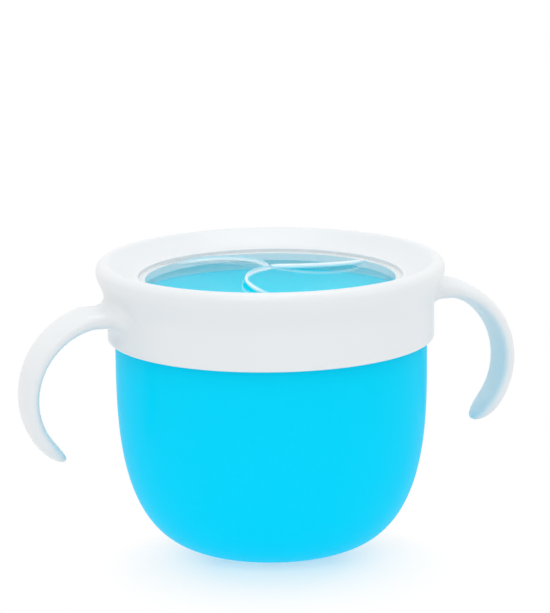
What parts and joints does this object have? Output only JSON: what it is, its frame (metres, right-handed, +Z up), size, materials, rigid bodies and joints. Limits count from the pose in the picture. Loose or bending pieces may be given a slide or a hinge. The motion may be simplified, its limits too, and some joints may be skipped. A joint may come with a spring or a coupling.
{
  "type": "toddler snack container",
  "caption": "Round snack cup with a white two-handled lid ring whose soft swirled flaps let a small hand in and close behind it.",
  "frame": {"origin": "centre of the flat that the cup stands on", "axes": "+Z up along the cup's axis, +X towards the right handle, +Y away from the picture's viewer"},
  "size_m": [0.142, 0.0946, 0.0793],
  "materials": {
    "cup_plastic": "smooth translucent moulded polypropylene, cyan",
    "lid_plastic": "satin white moulded polypropylene",
    "soft_insert": "clear, slightly milky soft thermoplastic elastomer"
  },
  "bodies": {
    "cup_body": {"cup": "cup_plastic"},
    "lid_body": {"lid_ring": "lid_plastic", "handle_left": "lid_plastic", "handle_right": "lid_plastic", "flap_ring": "soft_insert"},
    "flap_1_body": {"flap_1": "soft_insert"},
    "flap_2_body": {"flap_2": "soft_insert"},
    "flap_3_body": {"flap_3": "soft_insert"}
  },
  "joints": [
    {"name": "lid_lift", "type": "slide", "parent": "cup_body", "child": "lid_body", "axis": [0, 0, 1], "range_m": [0, 0.04]},
    {"name": "flap_1_bend", "type": "hinge", "parent": "lid_body", "child": "flap_1_body", "pos_m": [0.01153, -0.01153, 0.0749], "axis": [-0.7071, -0.7071, 0], "range_deg": [-30, 75], "stiffness_Nm_per_rad": 0.015},
    {"name": "flap_2_bend", "type": "hinge", "parent": "lid_body", "child": "flap_2_body", "pos_m": [0.00422, 0.01574, 0.0749], "axis": [0.9659, -0.2588, 0], "range_deg": [-30, 75], "stiffness_Nm_per_rad": 0.015},
    {"name": "flap_3_bend", "type": "hinge", "parent": "lid_body", "child": "flap_3_body", "pos_m": [-0.01574, -0.00422, 0.0749], "axis": [-0.2588, 0.9659, 0], "range_deg": [-30, 75], "stiffness_Nm_per_rad": 0.015}
  ]
}
